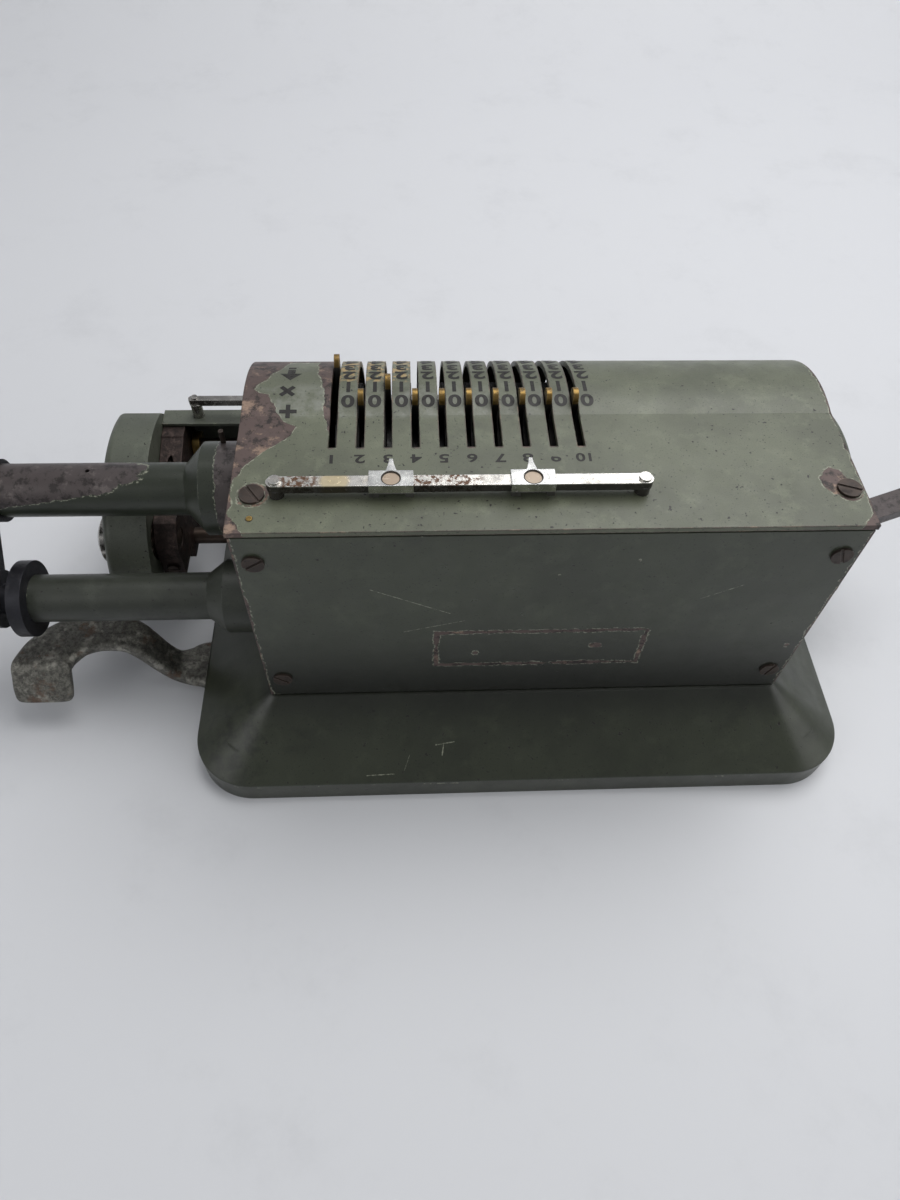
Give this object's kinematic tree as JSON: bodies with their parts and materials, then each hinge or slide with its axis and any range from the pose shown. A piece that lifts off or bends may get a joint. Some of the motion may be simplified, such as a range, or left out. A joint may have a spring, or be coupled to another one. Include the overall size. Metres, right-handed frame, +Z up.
{
  "type": "pinwheel calculator",
  "caption": "Hand-cranked pinwheel desk calculator with brass setting levers in slots, a sliding carriage, a side crank, clearing levers and decimal-point bars, in worn green enamel.",
  "frame": {"origin": "centre of the base's underside, on the surface that the machine stands on", "axes": "+Z up, +X to the machine's right where the crank is, -Y towards the user"},
  "size_m": [0.4041, 0.1666, 0.1308],
  "materials": {
    "cover_enamel": "satin, worn",
    "plate_enamel": "satin, worn",
    "base_enamel": "matte, worn",
    "tube_enamel": "satin, worn",
    "carriage_enamel": "satin, worn",
    "bare_iron": "worn bare metal",
    "bare_lever": "worn bare metal",
    "dark_steel": "dark, oiled",
    "steel": "satin",
    "screw_steel": "rusty",
    "brass": "worn",
    "chrome": "polished, spotted with rust",
    "dial_enamel": "satin",
    "grip_black": "worn gloss",
    "rubber": "matte"
  },
  "bodies": {
    "base": {"base_casting": "base_enamel", "rubber_feet": "rubber", "right_side_frame": "plate_enamel", "left_side_frame": "plate_enamel", "slotted_cover": "cover_enamel", "rear_plate": "plate_enamel", "case_screws": "screw_steel", "locating_pin": "brass", "left_shaft_bush": "brass", "crank_bearing_tube": "tube_enamel", "oil_pin": "screw_steel", "crank_stop_post": "tube_enamel", "crank_stop_disc": "dark_steel", "cross_rods": "steel", "decimal_bar": "chrome", "carriage_rail": "steel", "clear_lever_pivot": "screw_steel"},
    "drum": {"main_shaft": "steel", "pinwheel_discs": "steel", "pinwheel_pins": "steel", "crank_arm": "dark_steel", "crank_nut": "steel"},
    "setting_1": {"setting_lever_1": "brass"},
    "setting_2": {"setting_lever_2": "brass"},
    "setting_3": {"setting_lever_3": "brass"},
    "setting_4": {"setting_lever_4": "brass"},
    "setting_5": {"setting_lever_5": "brass"},
    "setting_6": {"setting_lever_6": "brass"},
    "setting_7": {"setting_lever_7": "brass"},
    "setting_8": {"setting_lever_8": "brass"},
    "setting_9": {"setting_lever_9": "brass"},
    "setting_10": {"setting_lever_10": "brass"},
    "locking_pin": {"crank_locking_pin": "steel"},
    "grip": {"crank_grip": "grip_black"},
    "idlers": {"idler_gears": "brass"},
    "carry": {"carry_levers": "steel"},
    "marker_1": {"decimal_marker_1": "chrome"},
    "marker_2": {"decimal_marker_2": "chrome"},
    "carriage": {"carriage_cap_right": "carriage_enamel", "carriage_cap_left": "carriage_enamel", "carriage_end_frame_right": "bare_iron", "carriage_end_frame_left": "bare_iron", "rod_clamp_screws": "screw_steel", "carriage_cover": "carriage_enamel", "carriage_runner": "steel", "latch_pivot_pin": "steel", "carriage_slide_rod": "steel", "dial_shaft_rod": "steel", "dial_shaft_collars": "brass", "carriage_decimal_bar": "chrome"},
    "result_register": {"result_dials": "dial_enamel"},
    "counter_register": {"counter_dials": "dial_enamel"},
    "result_clearing": {"result_clearing_lever": "chrome", "result_clearing_shaft": "steel"},
    "counter_clearing": {"counter_clearing_lever": "tube_enamel", "counter_clearing_shaft": "steel"},
    "latch": {"carriage_latch": "chrome"},
    "carriage_slider_1": {"carriage_marker_1": "chrome"},
    "carriage_slider_2": {"carriage_marker_2": "chrome"},
    "register_lever": {"register_clear_lever": "bare_lever"}
  },
  "joints": [
    {"name": "crank_turn", "type": "hinge", "parent": "base", "child": "drum", "pos_m": [0, -0.004, 0.0823], "axis": [1, 0, 0], "continuous": true},
    {"name": "setting_lever_1_turn", "type": "hinge", "parent": "drum", "child": "setting_1", "pos_m": [0.0645, -0.004, 0.0823], "axis": [1, 0, 0], "range_deg": [-26.4, 52.8]},
    {"name": "setting_lever_2_turn", "type": "hinge", "parent": "drum", "child": "setting_2", "pos_m": [0.0561, -0.004, 0.0823], "axis": [1, 0, 0], "range_deg": [0, 79.2]},
    {"name": "setting_lever_3_turn", "type": "hinge", "parent": "drum", "child": "setting_3", "pos_m": [0.0477, -0.004, 0.0823], "axis": [1, 0, 0], "range_deg": [-8.8, 70.4]},
    {"name": "setting_lever_4_turn", "type": "hinge", "parent": "drum", "child": "setting_4", "pos_m": [0.0393, -0.004, 0.0823], "axis": [1, 0, 0], "range_deg": [0, 79.2]},
    {"name": "setting_lever_5_turn", "type": "hinge", "parent": "drum", "child": "setting_5", "pos_m": [0.0309, -0.004, 0.0823], "axis": [1, 0, 0], "range_deg": [0, 79.2]},
    {"name": "setting_lever_6_turn", "type": "hinge", "parent": "drum", "child": "setting_6", "pos_m": [0.0225, -0.004, 0.0823], "axis": [1, 0, 0], "range_deg": [0, 79.2]},
    {"name": "setting_lever_7_turn", "type": "hinge", "parent": "drum", "child": "setting_7", "pos_m": [0.0141, -0.004, 0.0823], "axis": [1, 0, 0], "range_deg": [0, 79.2]},
    {"name": "setting_lever_8_turn", "type": "hinge", "parent": "drum", "child": "setting_8", "pos_m": [0.0057, -0.004, 0.0823], "axis": [1, 0, 0], "range_deg": [0, 79.2]},
    {"name": "setting_lever_9_turn", "type": "hinge", "parent": "drum", "child": "setting_9", "pos_m": [-0.0027, -0.004, 0.0823], "axis": [1, 0, 0], "range_deg": [0, 79.2]},
    {"name": "setting_lever_10_turn", "type": "hinge", "parent": "drum", "child": "setting_10", "pos_m": [-0.0111, -0.004, 0.0823], "axis": [1, 0, 0], "range_deg": [0, 79.2]},
    {"name": "crank_pin_pull", "type": "slide", "parent": "drum", "child": "locking_pin", "axis": [1, 0, 0], "range_m": [0, 0.004]},
    {"name": "crank_grip_spin", "type": "hinge", "parent": "locking_pin", "child": "grip", "pos_m": [0.1985, 0.022, 0.0535], "axis": [1, 0, 0], "continuous": true},
    {"name": "idler_gears_turn", "type": "hinge", "parent": "base", "child": "idlers", "pos_m": [0, -0.0381, 0.0441], "axis": [1, 0, 0], "continuous": true},
    {"name": "carry_levers_tilt", "type": "hinge", "parent": "base", "child": "carry", "pos_m": [0, -0.047, 0.031], "axis": [1, 0, 0], "range_deg": [-6, 0]},
    {"name": "decimal_marker_1_slide", "type": "slide", "parent": "base", "child": "marker_1", "axis": [1, 0, 0], "range_m": [-0.013, 0.0235]},
    {"name": "decimal_marker_2_slide", "type": "slide", "parent": "base", "child": "marker_2", "axis": [1, 0, 0], "range_m": [-0.0235, 0.013]},
    {"name": "carriage_shift", "type": "slide", "parent": "base", "child": "carriage", "axis": [1, 0, 0], "range_m": [-0.0336, 0.0168]},
    {"name": "result_dials_turn", "type": "hinge", "parent": "carriage", "child": "result_register", "pos_m": [0, -0.057, 0.053], "axis": [1, 0, 0], "range_deg": [0, 315]},
    {"name": "counter_dials_turn", "type": "hinge", "parent": "carriage", "child": "counter_register", "pos_m": [0, -0.057, 0.053], "axis": [1, 0, 0], "range_deg": [-315, 0]},
    {"name": "result_clearing_turn", "type": "hinge", "parent": "carriage", "child": "result_clearing", "pos_m": [0.1571, -0.0103, 0.0485], "axis": [1, 0, 0], "range_deg": [-35, 0]},
    {"name": "counter_clearing_turn", "type": "hinge", "parent": "carriage", "child": "counter_clearing", "pos_m": [-0.1329, -0.0103, 0.0485], "axis": [1, 0, 0], "range_deg": [0, 60]},
    {"name": "carriage_latch_press", "type": "hinge", "parent": "carriage", "child": "latch", "pos_m": [0, -0.073, 0.0342], "axis": [1, 0, 0], "range_deg": [0, 14]},
    {"name": "carriage_marker_1_slide", "type": "slide", "parent": "carriage", "child": "carriage_slider_1", "axis": [1, 0, 0], "range_m": [-0.04, 0.045]},
    {"name": "carriage_marker_2_slide", "type": "slide", "parent": "carriage", "child": "carriage_slider_2", "axis": [1, 0, 0], "range_m": [-0.031, 0.04]},
    {"name": "register_lever_pull", "type": "hinge", "parent": "base", "child": "register_lever", "pos_m": [0.1071, 0.023, 0.005], "axis": [0, 0, 1], "range_deg": [-12, 0]}
  ],
  "couplings": [
    {"joint": "result_dials_turn", "follows": "result_clearing_turn", "ratio": -9},
    {"joint": "counter_dials_turn", "follows": "counter_clearing_turn", "ratio": -5.25}
  ]
}
